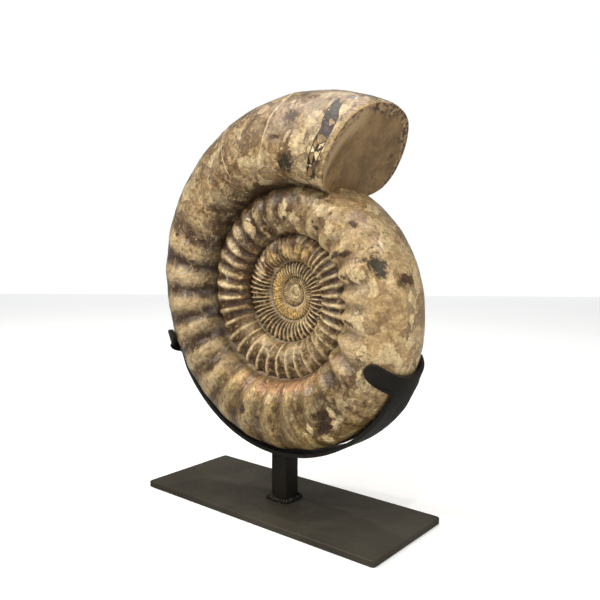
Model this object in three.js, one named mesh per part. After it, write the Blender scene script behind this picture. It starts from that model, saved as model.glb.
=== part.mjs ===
// A large ribbed ammonite fossil standing on edge in a welded black steel stand.
// Millimetres. X runs along the base plate, -Y is the front, +Z is up, and the origin is the
// centre of the plate's underside.
import * as THREE from 'three';

const GAP = 0.3;                      // clearance left between touching pieces

// Base plate and post
const PLATE_LENGTH = 375;
const PLATE_DEPTH = 150;
const PLATE_THICKNESS = 8;
const PLATE_CORNER = 5;
const PLATE_CHAMFER = 0.8;
const POST_SIDE = 25;
const BEAD_WIDTH = 5;                 // leg of the weld bead round the foot of the post
const BEAD_HEIGHT = 4;

// Coil of the shell. A place on it is a turn, counted in whorls inward from the aperture.
const COIL_X = 25.3;
const COIL_Z = PLATE_THICKNESS + 265.6;
const POLE_DRIFT_X = -3;              // the innermost whorls sit a little off the outer axis
const POLE_DRIFT_Z = 3.5;
const APERTURE_RADIUS = 259;
const APERTURE_ANGLE = 30;            // degrees clockwise from straight up, seen from the front
const GROWTH = 0.52;                  // the radius shrinks by exp(-GROWTH) in each whorl
const TIGHTENING = 0.012;
const COIL_TURNS = 5;
const RIB_FADE = 0.06;                // the venter's ribs die away over this much turn under the aperture

// Whorl section, as shares of the whorl's radius
const SHOULDER = 0.72;                // where the whorl is thickest
const VENTER_DEPTH = 1 - SHOULDER;
const WALL_FOOT = 0.9;                // the wall ends here on the whorl inside, as a share of its radius
const VENTER_POWER = 2.3;             // powers of the two superellipses that make the section
const WALL_POWER = 2.3;
const APERTURE_HALF_WIDTH = 0.285;
const INNER_HALF_WIDTH = 0.31;

// Ribs: [turn, rib number], and [turn, relief from valley to crest as a share of the radius]
const RIB_NUMBERS = [[0, -0.75], [0.27, 5], [1, 24], [1.2, 30], [1.68, 47], [1.94, 58], [2.45, 87],
  [2.93, 110], [4, 160], [5, 200]];
const RIB_RELIEF = [[0, 0.004], [0.2, 0.012], [0.3, 0.026], [0.8, 0.03], [1.05, 0.018], [1.3, 0.034],
  [2.9, 0.036], [3.6, 0.012], [5, 0]];

// Cradle: one rolled sheet under the shell whose ends spread into two wings
const SHEET_THICKNESS = 4;
const CRADLE_LEFT_TURN = 0.377;       // top edges of the wings
const CRADLE_RIGHT_TURN = 0.768;
const BAND_HALF_WIDTH = 24;
const WING_REACH = 62;                // from the middle of the sheet to the tip of a wing
const WING_HEIGHT = 23;
const WING_RISE = 8;                  // the tips of a wing stand this much above its middle
const FILLET_RADIUS = 10;
const TIP_CLEARANCE = 2.9;            // above the smooth section, so that the rib crests clear it
const LEFT_CLEARANCE = 2.8;           // in the middle of the left wing and of the right one
const RIGHT_CLEARANCE = 8;
const BAND_CLEARANCE = 6.6;
const FLATTENING_LENGTH = 55;         // the wings' bend runs out into the flat band over this length

const radians = THREE.MathUtils.degToRad;

// Straight-line interpolation in a list of [key, value] pairs
function interpolate(pairs, key) {
  let i = 1;
  while (i < pairs.length - 1 && pairs[i][0] < key) i += 1;
  const [fromKey, fromValue] = pairs[i - 1];
  const [toKey, toValue] = pairs[i];
  return THREE.MathUtils.mapLinear(key, fromKey, toKey, fromValue, toValue);
}

function meshGeometry(vertices, triangles) {
  const geometry = new THREE.BufferGeometry();
  geometry.setAttribute('position', new THREE.Float32BufferAttribute(vertices.flat(), 3));
  geometry.setIndex(triangles.flat());
  geometry.computeVertexNormals();
  return geometry;
}

// Shell form

function radiusAt(turn) {
  return APERTURE_RADIUS * Math.exp(-GROWTH * turn - TIGHTENING * turn * turn);
}

function halfWidthAt(turn) {
  return THREE.MathUtils.lerp(APERTURE_HALF_WIDTH, INNER_HALF_WIDTH, Math.min(turn, 1));
}

// How far the umbilical wall runs in from the shoulder, as a share of the whorl's radius
function wallDepthAt(turn) {
  return SHOULDER - WALL_FOOT * radiusAt(turn + 1) / radiusAt(turn);
}

// From coil coordinates to the frame of the whole piece
function place(turn, radius, y) {
  const drift = 1 - radiusAt(turn) / APERTURE_RADIUS;
  const angle = radians(APERTURE_ANGLE - 360 * turn);
  return [
    COIL_X + POLE_DRIFT_X * drift + radius * Math.sin(angle),
    y,
    COIL_Z + POLE_DRIFT_Z * drift + radius * Math.cos(angle),
  ];
}

// Point of the whorl section, lifted off it along its normal. The angle is 0 on the shoulder,
// 90 degrees in the middle of the venter, and negative on the umbilical wall.
function sectionPoint(turn, angle, lift = 0) {
  const radius = radiusAt(turn);
  const depth = radius * (angle > 0 ? VENTER_DEPTH : wallDepthAt(turn));
  const power = angle > 0 ? VENTER_POWER : WALL_POWER;
  const halfWidth = radius * halfWidthAt(turn);
  const sine = Math.sin(angle);
  const cosine = Math.cos(angle);
  const reach = (Math.abs(sine) ** power + Math.abs(cosine) ** power) ** (-1 / power);
  const normalOut = Math.sign(sine) * Math.abs(reach * sine) ** (power - 1) / depth;
  const normalSide = Math.abs(reach * cosine) ** (power - 1) / halfWidth;
  const length = Math.hypot(normalOut, normalSide);
  return {
    radius: radius * SHOULDER + depth * reach * sine + lift * normalOut / length,
    y: halfWidth * reach * cosine + lift * normalSide / length,
  };
}

// Half thickness of a whorl at a radius, on its wall or on its outer flank
function halfThickness(turn, radius, onWall) {
  const depth = radiusAt(turn) * (onWall ? wallDepthAt(turn) : VENTER_DEPTH);
  const power = onWall ? WALL_POWER : VENTER_POWER;
  const share = Math.min(Math.abs(radius - SHOULDER * radiusAt(turn)) / depth, 1);
  return radiusAt(turn) * halfWidthAt(turn) * (1 - share ** power) ** (1 / power);
}

function angleOnSection(turn, radius, y, onWall) {
  const depth = radiusAt(turn) * (onWall ? wallDepthAt(turn) : VENTER_DEPTH);
  return Math.atan2((radius - SHOULDER * radiusAt(turn)) / depth, y / (radiusAt(turn) * halfWidthAt(turn)));
}

// Umbilical seam: where the wall of a whorl meets the flank of the whorl inside it
function seamAt(turn) {
  let low = WALL_FOOT * radiusAt(turn + 1);
  let high = radiusAt(turn + 1);
  for (let i = 0; i < 40; i += 1) {
    const middle = (low + high) / 2;
    const outside = halfThickness(turn, middle, true) > halfThickness(turn + 1, middle, false);
    if (outside) high = middle;
    else low = middle;
  }
  const y = halfThickness(turn, low, true);
  return {
    radius: low,
    y,
    ownAngle: angleOnSection(turn, low, y, true),
    innerAngle: angleOnSection(turn + 1, low, y, false),
  };
}

// How far the rib stands above or below the smooth section
function ribLift(turn, weight) {
  const number = interpolate(RIB_NUMBERS, turn);
  const crest = 0.5 + 0.5 * Math.cos(2 * Math.PI * number);
  return radiusAt(turn) * interpolate(RIB_RELIEF, turn) * weight * (crest - 0.5);
}

// Shell mesh: rows of points across the whorl, one at each step along the spiral

const FLANK_COLUMNS = [0.28, 0.55, 0.8];      // shares of the way from the seam to the next whorl
const FLANK_WEIGHTS = [0.8, 1, 1];            // shares of the full relief on those columns
const VENTER_COLUMNS = [0, 0.33, 0.67, 1];    // shares of the rest of the way to mid venter
const VENTER_WEIGHTS = [0.85, 0.65, 0.45, 0.3];

// [rib number, steps per rib from there inward]
const STEPS_PER_RIB = [[-0.75, 4], [24, 3], [60, 2], [132, 1], [160, 0.5]];

function spiralTurns() {
  const ribAtTurn = RIB_NUMBERS.map(([turn, number]) => [number, turn]);
  const turns = [];
  STEPS_PER_RIB.forEach(([start, steps], i) => {
    const stop = i + 1 < STEPS_PER_RIB.length ? STEPS_PER_RIB[i + 1][0] : Infinity;
    for (let k = 0; start + k / steps < stop - 1e-6; k += 1) {
      const turn = interpolate(ribAtTurn, start + k / steps);
      if (turn > COIL_TURNS) return;
      turns.push(turn);
    }
  });
  return turns;
}

function makeAmmonite() {
  const vertices = [];
  const triangles = [];

  function addPoint(turn, point, side) {
    vertices.push(place(turn, point.radius, side * point.y));
    return vertices.length - 1;
  }

  function addTriangle(a, b, c) {
    if (a !== b && b !== c && c !== a) triangles.push([a, b, c]);
  }

  // Fills the strip between two lines of points, which may hold different numbers of them
  function zip(left, right) {
    let i = 0;
    let j = 0;
    while (i < left.length - 1 || j < right.length - 1) {
      const leftKey = i < left.length - 1 ? left[i + 1].key : Infinity;
      const rightKey = j < right.length - 1 ? right[j + 1].key : Infinity;
      if (leftKey <= rightKey) {
        addTriangle(left[i].id, left[i + 1].id, right[j].id);
        i += 1;
      } else {
        addTriangle(left[i].id, right[j + 1].id, right[j].id);
        j += 1;
      }
    }
  }

  const turns = spiralTurns();
  const firstCovered = turns.findIndex((turn) => turn > 1 - 1e-6);
  const coverAtOne = seamAt(0).innerAngle;
  const flank = { [-1]: [], [1]: [] };         // for each side, rows of ids from the seam outward
  const venter = [];                           // rows of ids across the venter, front to back

  turns.forEach((turn, i) => {
    const seam = seamAt(turn);
    const cover = i < firstCovered ? coverAtOne : seamAt(turn - 1).innerAngle;
    for (const side of [-1, 1]) {
      const row = [addPoint(turn, seam, side)];
      FLANK_COLUMNS.forEach((share, k) => {
        const angle = THREE.MathUtils.lerp(seam.ownAngle, cover, share);
        row.push(addPoint(turn, sectionPoint(turn, angle, ribLift(turn, FLANK_WEIGHTS[k])), side));
      });
      flank[side].push(row);
    }
    if (i > firstCovered) return;
    const fade = THREE.MathUtils.smoothstep(1 - turn, 0, RIB_FADE);
    const across = (side, share, weight) => {
      const angle = THREE.MathUtils.lerp(coverAtOne, Math.PI / 2, share);
      return addPoint(turn, sectionPoint(turn, angle, ribLift(turn, weight * fade)), side);
    };
    const front = VENTER_COLUMNS.map((share, k) => across(-1, share, VENTER_WEIGHTS[k]));
    const back = VENTER_COLUMNS.slice(0, -1).map((share, k) => across(1, share, VENTER_WEIGHTS[k]));
    if (i === firstCovered) {                  // the outer whorl's seam starts on this row
      front[0] = flank[-1][0][0];
      back[0] = flank[1][0][0];
    }
    venter.push([...front, ...back.reverse()]);
  });

  const line = (ids, keys) => ids.map((id, k) => ({ id, key: keys[k] }));

  // Outer whorl, right across the venter
  for (let i = 0; i < firstCovered; i += 1) {
    const rows = [i, i + 1].map((k) => [...flank[-1][k], ...venter[k], ...flank[1][k].toReversed()]);
    const keys = rows[0].map((id, k) => k);
    zip(line(rows[0], keys), line(rows[1], keys));
  }

  // Inner whorls, each side on its own, and the seam that joins them to the whorl outside
  for (const side of [-1, 1]) {
    for (let i = firstCovered; i < turns.length - 1; i += 1) {
      const rows = [flank[side][i], flank[side][i + 1]];
      const keys = rows[0].map((id, k) => k);
      const [first, second] = side < 0 ? rows : rows.map((row) => row.toReversed());
      zip(line(first, keys), line(second, keys));
    }
    const edge = [];
    const seamLine = [];
    turns.forEach((turn, i) => {
      if (i >= firstCovered) edge.push({ id: flank[side][i].at(-1), key: turn - 1 });
      if (turn <= turns.at(-1) - 1) seamLine.push({ id: flank[side][i][0], key: turn });
    });
    if (side < 0) zip(seamLine, edge);
    else zip(edge, seamLine);

    // Centre of the umbilicus
    const last = turns.length - 1;
    const centreTurn = turns[last];
    const centre = addPoint(centreTurn, { radius: 0, y: seamAt(centreTurn).y * 0.9 }, side);
    const loop = flank[side].slice(seamLine.length - 1).map((row) => row[0]);
    loop.push(...flank[side][last].slice(1), seamLine.at(-1).id);
    for (let k = 0; k < loop.length - 1; k += 1) {
      if (side < 0) addTriangle(centre, loop[k], loop[k + 1]);
      else addTriangle(centre, loop[k + 1], loop[k]);
    }
  }

  // Flat face across the aperture, down to the venter of the whorl inside
  const rim = [...flank[-1][0], ...venter[0], ...flank[1][0].toReversed()];
  const inner = venter[firstCovered];
  zip(
    line(inner, inner.map((id, k) => k / (inner.length - 1))),
    line(rim, rim.map((id, k) => k / (rim.length - 1))),
  );
  return meshGeometry(vertices, triangles);
}

// Cradle

// Angle on the section at which a sheet lying on it has run a given distance from the venter
function angleAfter(turn, distance, clearance) {
  const step = radians(0.5);
  let angle = Math.PI / 2;
  let from = sectionPoint(turn, angle, clearance);
  let run = 0;
  while (run < distance) {
    angle -= step;
    const to = sectionPoint(turn, angle, clearance);
    run += Math.hypot(to.radius - from.radius, to.y - from.y);
    from = to;
  }
  return angle;
}

// Inner and outer point of the sheet. bend is 1 on a wing, which lies on the shell, and 0 on
// the flat band.
function sheetPoints(turn, across, bend, clearance) {
  const angle = angleAfter(turn, Math.abs(across), clearance);
  return [clearance, clearance + SHEET_THICKNESS].map((lift) => {
    const curved = sectionPoint(turn, angle, lift);
    const radius = THREE.MathUtils.lerp(radiusAt(turn) + lift, curved.radius, bend);
    const y = THREE.MathUtils.lerp(Math.abs(across), curved.y, bend);
    return place(turn, radius, Math.sign(across) * y);
  });
}

// Rows of one end, from the wing's top edge to the band: how far along the sheet the row
// lies at its two edges and at its middle, and how far out its edges reach
function endRows() {
  const rows = [];
  const round = WING_HEIGHT / 2;
  for (const degrees of [90, 45, 0, -45, -90]) {
    const along = round - round * Math.sin(radians(degrees));
    const reach = WING_REACH - round + round * Math.cos(radians(degrees));
    rows.push({ edge: along, middle: along + WING_RISE, reach });
  }
  const filletStart = BAND_HALF_WIDTH + FILLET_RADIUS;
  rows.push({
    edge: WING_HEIGHT,
    middle: WING_HEIGHT + WING_RISE + 1,
    reach: (WING_REACH - round + filletStart) / 2,
  });
  for (const degrees of [0, 45, 90]) {
    rows.push({
      edge: WING_HEIGHT + FILLET_RADIUS * (1 - Math.cos(radians(degrees))),
      middle: WING_HEIGHT + WING_RISE + 2 + 2 * degrees / 45,
      reach: filletStart - FILLET_RADIUS * Math.sin(radians(degrees)),
    });
  }
  return rows;
}

function cradleRows() {
  const ends = endRows();
  const perLeft = 1 / (2 * Math.PI * radiusAt(CRADLE_LEFT_TURN));
  const perRight = 1 / (2 * Math.PI * radiusAt(CRADLE_RIGHT_TURN));
  const bendEnd = WING_HEIGHT + FLATTENING_LENGTH;
  const bendAt = (along) => 1 - THREE.MathUtils.smoothstep(along, WING_HEIGHT, bendEnd);
  const toRow = (start, perMillimetre, wingClearance) => ({ edge, middle, reach }) => ({
    edgeTurn: start + edge * perMillimetre,
    middleTurn: start + middle * perMillimetre,
    reach,
    bend: bendAt(middle),
    clearance: THREE.MathUtils.lerp(BAND_CLEARANCE, wingClearance, bendAt(middle)),
  });
  const left = ends.map(toRow(CRADLE_LEFT_TURN, perLeft, LEFT_CLEARANCE));
  const right = ends.map(toRow(CRADLE_RIGHT_TURN, -perRight, RIGHT_CLEARANCE)).reverse();
  const bandRows = 12;
  const band = [];
  for (let i = 1; i < bandRows; i += 1) {
    const turn = THREE.MathUtils.lerp(left.at(-1).middleTurn, right[0].middleTurn, i / bandRows);
    const fromLeft = (turn - CRADLE_LEFT_TURN) / perLeft;
    const fromRight = (CRADLE_RIGHT_TURN - turn) / perRight;
    const bend = bendAt(Math.min(fromLeft, fromRight));
    const wingClearance = fromLeft < fromRight ? LEFT_CLEARANCE : RIGHT_CLEARANCE;
    const clearance = THREE.MathUtils.lerp(BAND_CLEARANCE, wingClearance, bend);
    band.push({ edgeTurn: turn, middleTurn: turn, reach: BAND_HALF_WIDTH, bend, clearance });
  }
  return [...left, ...band, ...right];
}

function makeCradle() {
  const columns = 8;
  const vertices = [];
  const triangles = [];
  const quad = (a, b, c, d) => triangles.push([a, b, c], [a, c, d]);
  const rows = cradleRows().map(({ edgeTurn, middleTurn, reach, bend, clearance }) => {
    const row = [];
    for (let k = 0; k <= columns; k += 1) {
      const share = 2 * k / columns - 1;
      const turn = THREE.MathUtils.lerp(middleTurn, edgeTurn, share * share);
      const toTip = Math.max(Math.abs(share) * reach - BAND_HALF_WIDTH, 0) / (WING_REACH - BAND_HALF_WIDTH);
      const lift = THREE.MathUtils.lerp(clearance, TIP_CLEARANCE, toTip);
      vertices.push(...sheetPoints(turn, share * reach, bend, lift));
      row.push({ inner: vertices.length - 2, outer: vertices.length - 1 });
    }
    return row;
  });
  for (let i = 0; i < rows.length - 1; i += 1) {
    const [from, to] = [rows[i], rows[i + 1]];
    for (let k = 0; k < columns; k += 1) {
      const outer = [from[k].outer, from[k + 1].outer, to[k + 1].outer, to[k].outer];
      const inner = [from[k].inner, to[k].inner, to[k + 1].inner, from[k + 1].inner];
      const mirrored = k >= columns / 2;        // the two sides are cut along mirrored diagonals
      quad(...(mirrored ? [...outer.slice(1), outer[0]] : outer));
      quad(...(mirrored ? [...inner.slice(1), inner[0]] : inner));
    }
    quad(from[0].inner, from[0].outer, to[0].outer, to[0].inner);
    quad(from[columns].inner, to[columns].inner, to[columns].outer, from[columns].outer);
  }
  for (let k = 0; k < columns; k += 1) {
    const [first, last] = [rows[0], rows.at(-1)];
    quad(first[k].inner, first[k + 1].inner, first[k + 1].outer, first[k].outer);
    quad(last[k].inner, last[k].outer, last[k + 1].outer, last[k + 1].inner);
  }
  return meshGeometry(vertices, triangles);
}

// Stand

function makePlate() {
  const x = PLATE_LENGTH / 2 - PLATE_CHAMFER;
  const y = PLATE_DEPTH / 2 - PLATE_CHAMFER;
  const r = PLATE_CORNER - PLATE_CHAMFER;
  const outline = new THREE.Shape();
  outline.absarc(x - r, y - r, r, 0, Math.PI / 2);
  outline.absarc(-x + r, y - r, r, Math.PI / 2, Math.PI);
  outline.absarc(-x + r, -y + r, r, Math.PI, 1.5 * Math.PI);
  outline.absarc(x - r, -y + r, r, 1.5 * Math.PI, 2 * Math.PI);
  const geometry = new THREE.ExtrudeGeometry(outline, {
    depth: PLATE_THICKNESS - 2 * PLATE_CHAMFER,
    bevelThickness: PLATE_CHAMFER,
    bevelSize: PLATE_CHAMFER,
    bevelSegments: 1,
    curveSegments: 4,
  });
  return geometry.translate(0, 0, PLATE_CHAMFER);
}

// Height of the band's underside above a place on the plate's centre line
function bandUnderside(x) {
  const depthBelow = (turn) => place(turn, radiusAt(turn) + BAND_CLEARANCE + SHEET_THICKNESS, 0);
  let low = 0.5;                               // turns on the left and on the right of the post
  let high = 0.62;
  for (let i = 0; i < 40; i += 1) {
    const middle = (low + high) / 2;
    if (depthBelow(middle)[0] < x) low = middle;
    else high = middle;
  }
  return depthBelow(low)[2];
}

// Square bar whose top is cut to the curve of the band above it
function makePost() {
  const half = POST_SIDE / 2;
  const topSteps = 4;
  const outline = new THREE.Shape();
  outline.moveTo(-half, PLATE_THICKNESS + GAP);
  outline.lineTo(half, PLATE_THICKNESS + GAP);
  for (let i = 0; i <= topSteps; i += 1) {
    const x = THREE.MathUtils.lerp(half, -half, i / topSteps);
    outline.lineTo(x, bandUnderside(x) - 2 * GAP);
  }
  const geometry = new THREE.ExtrudeGeometry(outline, { depth: POST_SIDE, bevelEnabled: false });
  return geometry.translate(0, 0, -half).rotateX(Math.PI / 2);
}

// Lumpy weld bead that runs round the foot of the post
function makeWeldBead() {
  const steps = 32;
  const vertices = [];
  const triangles = [];
  const inside = POST_SIDE / 2 + GAP;
  const foot = PLATE_THICKNESS + GAP;
  for (let i = 0; i < steps; i += 1) {
    const angle = 2 * Math.PI * i / steps;
    const reach = Math.max(Math.abs(Math.cos(angle)), Math.abs(Math.sin(angle)));
    const lump = 1 + 0.22 * Math.sin(5 * angle + 1) + 0.16 * Math.sin(11 * angle);
    const ring = [
      [inside / reach, foot],
      [inside / reach, foot + BEAD_HEIGHT * lump],
      [inside / reach + 0.7 * BEAD_WIDTH * lump, foot + 0.7 * BEAD_HEIGHT * lump],
      [inside / reach + BEAD_WIDTH * lump, foot],
    ];
    for (const [out, z] of ring) vertices.push([out * Math.cos(angle), out * Math.sin(angle), z]);
    for (let k = 0; k < 4; k += 1) {
      const [a, b] = [4 * i + k, 4 * i + (k + 1) % 4];
      const [c, d] = [(4 * (i + 1) + (k + 1) % 4) % (4 * steps), (4 * (i + 1) + k) % (4 * steps)];
      triangles.push([a, b, c], [a, c, d]);
    }
  }
  return meshGeometry(vertices, triangles);
}

const fossil = new THREE.MeshStandardMaterial({ color: 0x9b845f, roughness: 0.35, metalness: 0 });
const blackSteel = new THREE.MeshStandardMaterial({ color: 0x24221f, roughness: 0.45, metalness: 0.3 });
const greySteel = new THREE.MeshStandardMaterial({ color: 0x4b483f, roughness: 0.5, metalness: 0.3 });

function piece(name, geometry, material) {
  const mesh = new THREE.Mesh(geometry, material);
  mesh.name = name;
  return mesh;
}

const stand = new THREE.Group();
stand.add(
  piece('base_plate', makePlate(), greySteel),
  piece('post', makePost(), blackSteel),
  piece('weld_bead', makeWeldBead(), blackSteel),
  piece('cradle', makeCradle(), blackSteel),
);

const object = new THREE.Group();
object.add(stand, piece('ammonite', makeAmmonite(), fossil));

export default object;
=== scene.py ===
# The finished look of a polished ammonite on its welded steel stand.
# Metres. X runs along the base plate, -Y is the front, +Z is up. A place on the shell is a turn,
# counted in whorls inward from the mouth, and a share across the whorl, 0 at the inner seam and
# 1 at the outer edge.
import random
from math import copysign, cos, inf, pi, radians, sin

import bpy
import numpy as np
from mathutils import Matrix, Vector, noise


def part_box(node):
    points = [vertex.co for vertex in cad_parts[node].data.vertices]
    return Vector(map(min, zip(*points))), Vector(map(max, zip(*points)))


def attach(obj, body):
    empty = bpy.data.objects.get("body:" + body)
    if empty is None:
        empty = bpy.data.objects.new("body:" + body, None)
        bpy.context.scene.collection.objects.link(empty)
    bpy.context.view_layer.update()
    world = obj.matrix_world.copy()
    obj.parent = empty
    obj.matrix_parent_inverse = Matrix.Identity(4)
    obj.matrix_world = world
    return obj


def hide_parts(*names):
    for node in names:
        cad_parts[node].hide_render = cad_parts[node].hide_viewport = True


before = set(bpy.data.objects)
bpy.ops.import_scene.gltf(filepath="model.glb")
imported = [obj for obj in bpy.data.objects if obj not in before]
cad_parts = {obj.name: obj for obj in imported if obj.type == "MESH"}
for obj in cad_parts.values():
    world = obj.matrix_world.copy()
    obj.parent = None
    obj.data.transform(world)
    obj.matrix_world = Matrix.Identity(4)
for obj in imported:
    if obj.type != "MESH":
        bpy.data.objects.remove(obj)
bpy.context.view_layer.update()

# Coil of the shell, as in the solid
PLATE_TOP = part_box("base_plate")[1].z
POST_LOW, POST_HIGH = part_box("post")
POST_HALF = (POST_HIGH.x - POST_LOW.x) / 2
COIL_X = 0.0253
COIL_Z = PLATE_TOP + 0.2656
DRIFT = (-0.003, 0.0035)              # of the axis, inward from the mouth, in x and z
HEART_DRIFT = (-0.0022, 0.0028)       # further drift of the tight whorls at the centre
APERTURE_RADIUS = 0.259
APERTURE_ANGLE = radians(30)
GROWTH = 0.52
TIGHTENING = 0.012

# Whorl section, as shares of the whorl's radius
SHOULDER = 0.72
VENTER_DEPTH = 1 - SHOULDER
WALL_FOOT = 0.9
SECTION_POWER = 2.3
HALVINGS = 40                         # steps of the search for the seam
APERTURE_HALF_WIDTH = 0.285
INNER_HALF_WIDTH = 0.31

# How the form and the colours change along the coil: turns, and a value at each
ALONG = {
    "rib_number": ([0, 0.27, 1, 1.2, 1.68, 1.94, 2.45, 2.93, 4, 5],
                   [-0.75, 5, 24, 30, 47, 58, 87, 110, 160, 200]),
    # height of the ribs, as a share of the whorl's radius
    "relief": ([0, 0.2, 0.3, 0.8, 1.05, 1.3, 1.45, 1.66, 1.8, 1.98, 2.2, 2.3, 2.9, 3.6, 5],
               [0.004, 0.012, 0.032, 0.044, 0.022, 0.046, 0.028, 0.024, 0.042, 0.024, 0.02, 0.036,
                0.04, 0.034, 0.04]),
    # above 1 the ribs are narrower than their valleys
    "sharpness": ([0, 1, 1.3, 1.45, 1.66, 1.76, 1.95, 2.3, 3, 4],
                  [1, 1.1, 1.3, 5, 5, 1.9, 2.2, 5, 4.5, 2.5]),
    # share by which the ribs have faded out at the outer edge of the flank
    "fade": ([0, 0.25, 0.35, 0.5, 0.62, 0.75, 1, 1.08, 1.35, 1.42, 1.66, 1.75, 2],
             [0.6, 0.8, 0.9, 0.85, 0.75, 0.95, 0.95, 0.9, 0.75, 0.1, 0.1, 0.35, 0.1]),
    # how far the edge of the outer whorl leaves the true spiral, in metres
    "edge_shift": ([0.28, 0.36, 0.47, 0.53, 0.58, 0.74, 0.82],
                   [0, -0.0022, -0.0022, 0.001, 0.003, 0.003, 0]),
    # strengths of the colours
    # dark colour in the rib valleys: dark fill, and painted shade between the ribs
    "valley_fill_and_shade": ([0.2, 0.26, 0.5, 0.56, 0.74, 1.0, 1.02, 1.16, 1.3, 1.56, 1.64, 1.76, 1.8, 1.95, 2.0, 2.2,
                2.3, 2.9, 3.1, 3.15, 3.6, 4.2],
               [0, 0.95, 0.9, 0.7, 0.6, 0.55, 0.4, 0.85, 1, 1, 0.45, 0.5, 1, 1, 0.4, 0.4, 1, 1, 0.9,
                0.6, 0.6, 0.9]),
    # pale colour on the rib crests: wear, and a painted highlight
    "crest_wear_and_highlight": ([0.2, 0.26, 0.5, 0.7, 1.0, 1.16, 1.25, 1.62, 1.68, 1.78, 1.96, 2.0, 2.22, 2.3, 3.0, 3.6],
              [0.1, 0.8, 0.75, 0.35, 0.45, 0.5, 0.95, 1, 0.5, 1, 0.7, 0.15, 0.15, 1, 1, 0.9]),
    "gold": ([0.4, 0.5, 0.66, 0.74, 1.95, 1.99, 2.2, 2.26, 3.12, 3.2, 3.62, 3.8],
             [0, 0.5, 0.5, 0, 0, 1, 1, 0, 0, 1, 0.9, 0.2]),
    # dark violet and umber ground: mostly the stone's own dark brown, but on the outer whorl's top and
    # left, by its inner seam, painted shade
    "dark_stone_and_shade": ([0, 0.04, 0.12, 0.4, 0.46, 1.0, 1.06, 1.14, 1.34, 1.42, 1.6, 1.68, 1.8, 1.96, 2.0, 2.22,
              2.3, 2.94, 3.0, 3.14, 3.2, 3.62, 3.8],
             [0, 0, 0.9, 0.9, 0, 0, 0.3, 0.6, 0.55, 0.3, 0.35, 0.1, 0.2, 0.6, 1, 0.9, 0.3, 0.3, 0.8,
              0.7, 0, 0, 0.6]),
    "pale": ([0.0, 0.48, 0.54, 0.7, 0.76, 0.84, 1.0, 1.08], [0.25, 0.25, 0, 0, 0.9, 0.9, 0.5, 0.2]),
    # brightness along the coil: the stone's own tone, with the low stretch of the outer whorl darkened as
    # painted shade
    "tone": ([0, 0.1, 0.3, 0.46, 0.54, 0.68, 0.76, 0.98, 1.1, 1.3, 1.6, 1.9, 2.0, 2.2, 2.3, 3.0, 3.2],
             [0.88, 0.9, 0.86, 0.82, 0.62, 0.62, 0.98, 0.96, 0.9, 1.3, 1.0, 1.1, 1.55, 1.55, 1.15,
              1.35, 1.5]),
    # low stretch of the outer whorl, whose inner side is kept out of the painted shade
    "low": ([0.44, 0.5, 0.68, 0.72], [0, 1, 1, 0]),
    "blush": ([0.48, 0.53, 0.66, 0.7], [0, 1, 1, 0]),
    "lip": ([0.38, 0.44, 0.68, 0.74, 1.38, 1.42, 1.72, 1.76, 2.3, 2.36, 5.0, 5.3],
            [0, 0.6, 0.6, 0, 0, 0.8, 0.8, 0.3, 0.5, 1, 1, 0]),
    "lip_width": ([0.7, 1.3, 2, 3, 4], [0.009, 0.012, 0.02, 0.04, 0.09]),
    # width of the painted shade along the outer seam of the inner whorls, as a share across
    "seam_shade_width": ([2, 3.5, 4], [0.06, 0.16, 0.35]),
}

# Mesh of the shell
STEPS_PER_TURN = 480
FLANK_COLUMNS = 32
VENTER_COLUMNS = 20
COLUMN_STRIDES = [(1, 2), (2, 4)]     # from each turn inward, only every nth column is kept
LAST_TURN = 6
AXIS_BLEND = 0.3                      # share of the flank over which the next turn's axis takes over
MOUTH_LINES = 14
RIM_ROUNDING = 0.0016

# Cradle, close to the solid but nearer the shell
SHEET_THICKNESS = 0.0046
CRADLE_LEFT_TURN = 0.377
CRADLE_RIGHT_TURN = 0.768
BAND_HALF_WIDTH = 0.024
WING_REACH = 0.062
LEFT_EXTRA_REACH = 0.018
WING_HEIGHT = 0.023
WING_RISE = 0.008
FILLET_RADIUS = 0.01
TIP_CLEARANCE = 0.0029
LEFT_CLEARANCE = 0.0028
RIGHT_CLEARANCE = 0.0055
BAND_CLEARANCE = 0.0056
FLATTENING_LENGTH = 0.035

# Post and welds
POST_CORNER = 0.0016
JOINT_GAP = 0.0003
WELD_GAP = 0.0002
BEAD_WIDTH = 0.0052
BEAD_HEIGHT = 0.0046
TOP_FILLET = 0.0042


def smoothstep(value, low, high):
    share = np.clip((value - low) / (high - low), 0, 1)
    return share * share * (3 - 2 * share)


# Shell form


def radius_at(turn):
    return APERTURE_RADIUS * np.exp(-GROWTH * turn - TIGHTENING * turn * turn)


def half_width_at(turn):
    return APERTURE_HALF_WIDTH + (INNER_HALF_WIDTH - APERTURE_HALF_WIDTH) * np.minimum(turn, 1)


def wall_depth_at(turn):
    return SHOULDER - WALL_FOOT * radius_at(turn + 1) / radius_at(turn)


def place(turn, radius, y, axis_turn=None):
    """Point of the frame. The axis of the coil wanders as it goes in, so that each turn has its own."""
    axis_turn = turn if axis_turn is None else axis_turn
    drift = 1 - radius_at(axis_turn) / APERTURE_RADIUS
    heart = smoothstep(axis_turn, 3.2, 5)
    angle = APERTURE_ANGLE - 2 * pi * turn
    x = COIL_X + DRIFT[0] * drift + HEART_DRIFT[0] * heart + radius * np.sin(angle)
    z = COIL_Z + DRIFT[1] * drift + HEART_DRIFT[1] * heart + radius * np.cos(angle)
    return np.stack(np.broadcast_arrays(x, y, z), axis=-1)


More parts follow.
